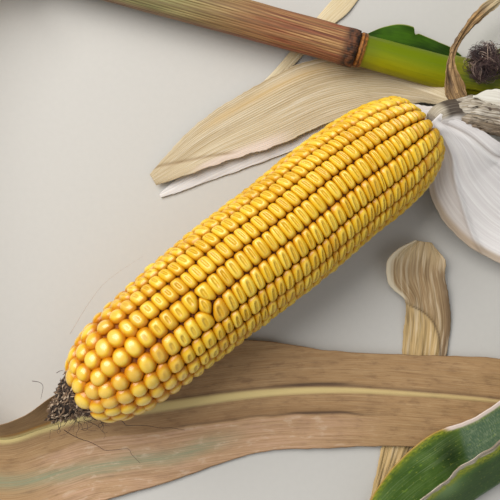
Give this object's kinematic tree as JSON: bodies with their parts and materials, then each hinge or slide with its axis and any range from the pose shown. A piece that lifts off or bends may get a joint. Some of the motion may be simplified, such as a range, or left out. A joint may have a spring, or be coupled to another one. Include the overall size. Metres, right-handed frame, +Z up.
{
  "type": "maize stalk with ripe ear",
  "caption": "Cut maize stalk lying down: a ripe yellow ear in peeled husks, a wrapped second ear with dried silk, a dry leaf and a green leaf",
  "frame": {"origin": "Centre of the bounding box's foot, on the ground the cut stalk lies on", "axes": "+X along the stalk's lie, towards its lower cut end; +Z up from the ground; +Y across, from the dry leaf's side towards the stalk's side"},
  "size_m": [0.4759, 0.327, 0.0503],
  "materials": {
    "stalk_rind": "smooth waxy green rind with brown rings",
    "dry_sheath": "dry ribbed leaf sheath, red brown",
    "green_sheath": "fresh leaf sheath, satin",
    "leaf_dark_green": "fresh torn leaf base, satin",
    "dry_leaf": "dry papery leaf, matte",
    "twisted_leaf": "dry twisted leaf strip, matte",
    "green_leaf": "fresh leaf, satin",
    "kernels": "hard glossy kernel skin, yellow",
    "bare_tip": "bare cob tip with dried scales, matte",
    "shank": "fibrous stem, matte",
    "stained_husk": "weathered husk foot, dark mould, matte",
    "tan_husk": "dry papery husk, matte",
    "white_husk": "thin papery husk, pale, satin",
    "ribbon_husk": "narrow dry husk strip, matte",
    "brown_husk": "brown curled husk strip, matte",
    "cream_husk": "cream husk strip, matte",
    "green_husk": "fresh wrapped husk, satin",
    "dried_silk": "dried silk, dark brown, matte"
  },
  "bodies": {
    "root": {"stalk": "stalk_rind", "sheath_upper": "dry_sheath", "sheath_ear": "green_sheath", "sheath_lower": "green_sheath", "sheath_flap": "leaf_dark_green", "leaf_dry_1": "dry_leaf", "leaf_dry_2": "dry_leaf", "leaf_dry_3": "dry_leaf", "leaf_dry_4": "dry_leaf", "leaf_strip": "twisted_leaf", "leaf_green_1": "green_leaf", "leaf_green_2": "green_leaf", "ear": "kernels", "ear_tip": "bare_tip", "shank": "shank", "husk_collar": "stained_husk", "husk_tan": "tan_husk", "husk_inner": "white_husk", "husk_white": "white_husk", "husk_ribbon": "ribbon_husk", "husk_curl": "brown_husk", "husk_cream": "cream_husk", "ear_second": "green_husk", "silk_second": "dried_silk", "shank_second": "green_husk"}
  },
  "joints": []
}
